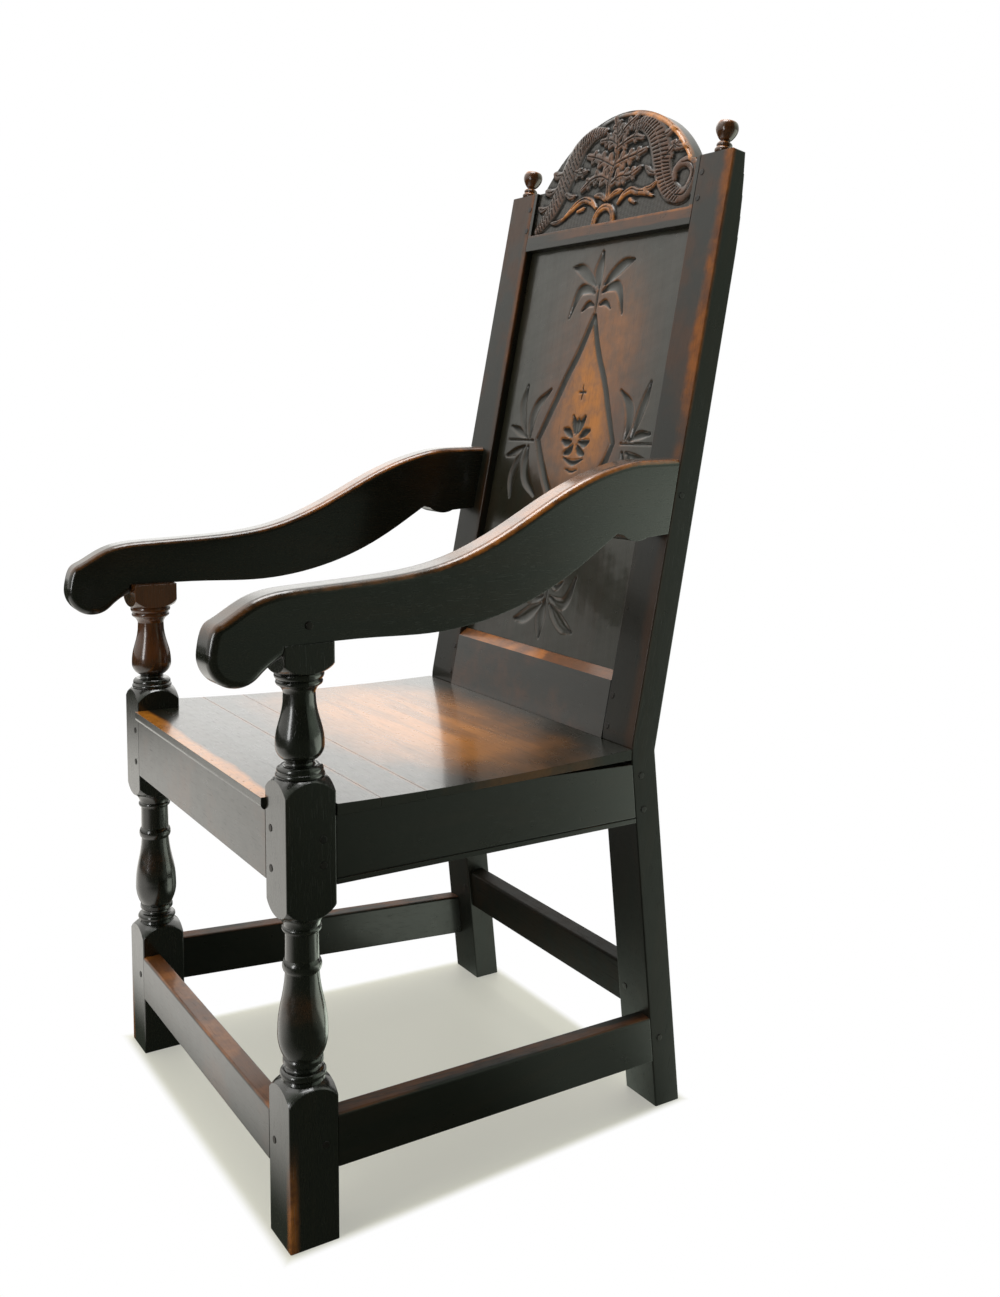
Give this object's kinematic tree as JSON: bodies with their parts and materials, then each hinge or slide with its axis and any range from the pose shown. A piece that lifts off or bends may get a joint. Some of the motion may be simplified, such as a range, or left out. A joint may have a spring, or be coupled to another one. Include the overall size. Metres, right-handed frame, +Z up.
{
  "type": "wainscot chair",
  "caption": "Joined oak armchair with a carved panelled back under an arched crest rail, turned front legs carried up to scrolled arms, and a board seat over box stretchers.",
  "frame": {"origin": "floor level under the middle of the chair's outline", "axes": "+Z up; the chair faces -Y, towards the sitter's feet; +X is the sitter's left"},
  "size_m": [0.515, 0.663, 1.1704],
  "materials": {
    "oak_upright": "dark waxed",
    "oak_cross_rail": "dark waxed",
    "oak_side_rail": "dark waxed",
    "oak_crest": "carved, waxed",
    "oak_panel": "carved, dry waxed",
    "oak_seat": "waxed, worn bright",
    "oak_arm": "dark waxed",
    "oak_finial": "dark waxed",
    "oak_peg": "dark end grain"
  },
  "bodies": {
    "root": {"front_leg_right": "oak_upright", "front_leg_left": "oak_upright", "rear_post_right": "oak_upright", "rear_post_left": "oak_upright", "front_seat_rail": "oak_cross_rail", "side_seat_rail_right": "oak_side_rail", "side_seat_rail_left": "oak_side_rail", "rear_seat_rail": "oak_cross_rail", "front_stretcher": "oak_cross_rail", "side_stretcher_right": "oak_side_rail", "side_stretcher_left": "oak_side_rail", "rear_stretcher": "oak_cross_rail", "lower_back_rail": "oak_cross_rail", "crest_rail": "oak_crest", "back_panel": "oak_panel", "seat_board_front": "oak_seat", "seat_board_middle": "oak_seat", "seat_board_rear": "oak_seat", "arm_right": "oak_arm", "arm_left": "oak_arm", "finial_right": "oak_finial", "finial_left": "oak_finial", "seat_rail_pegs": "oak_peg", "stretcher_pegs": "oak_peg", "back_frame_pegs": "oak_peg", "arm_pegs": "oak_peg"}
  },
  "joints": []
}
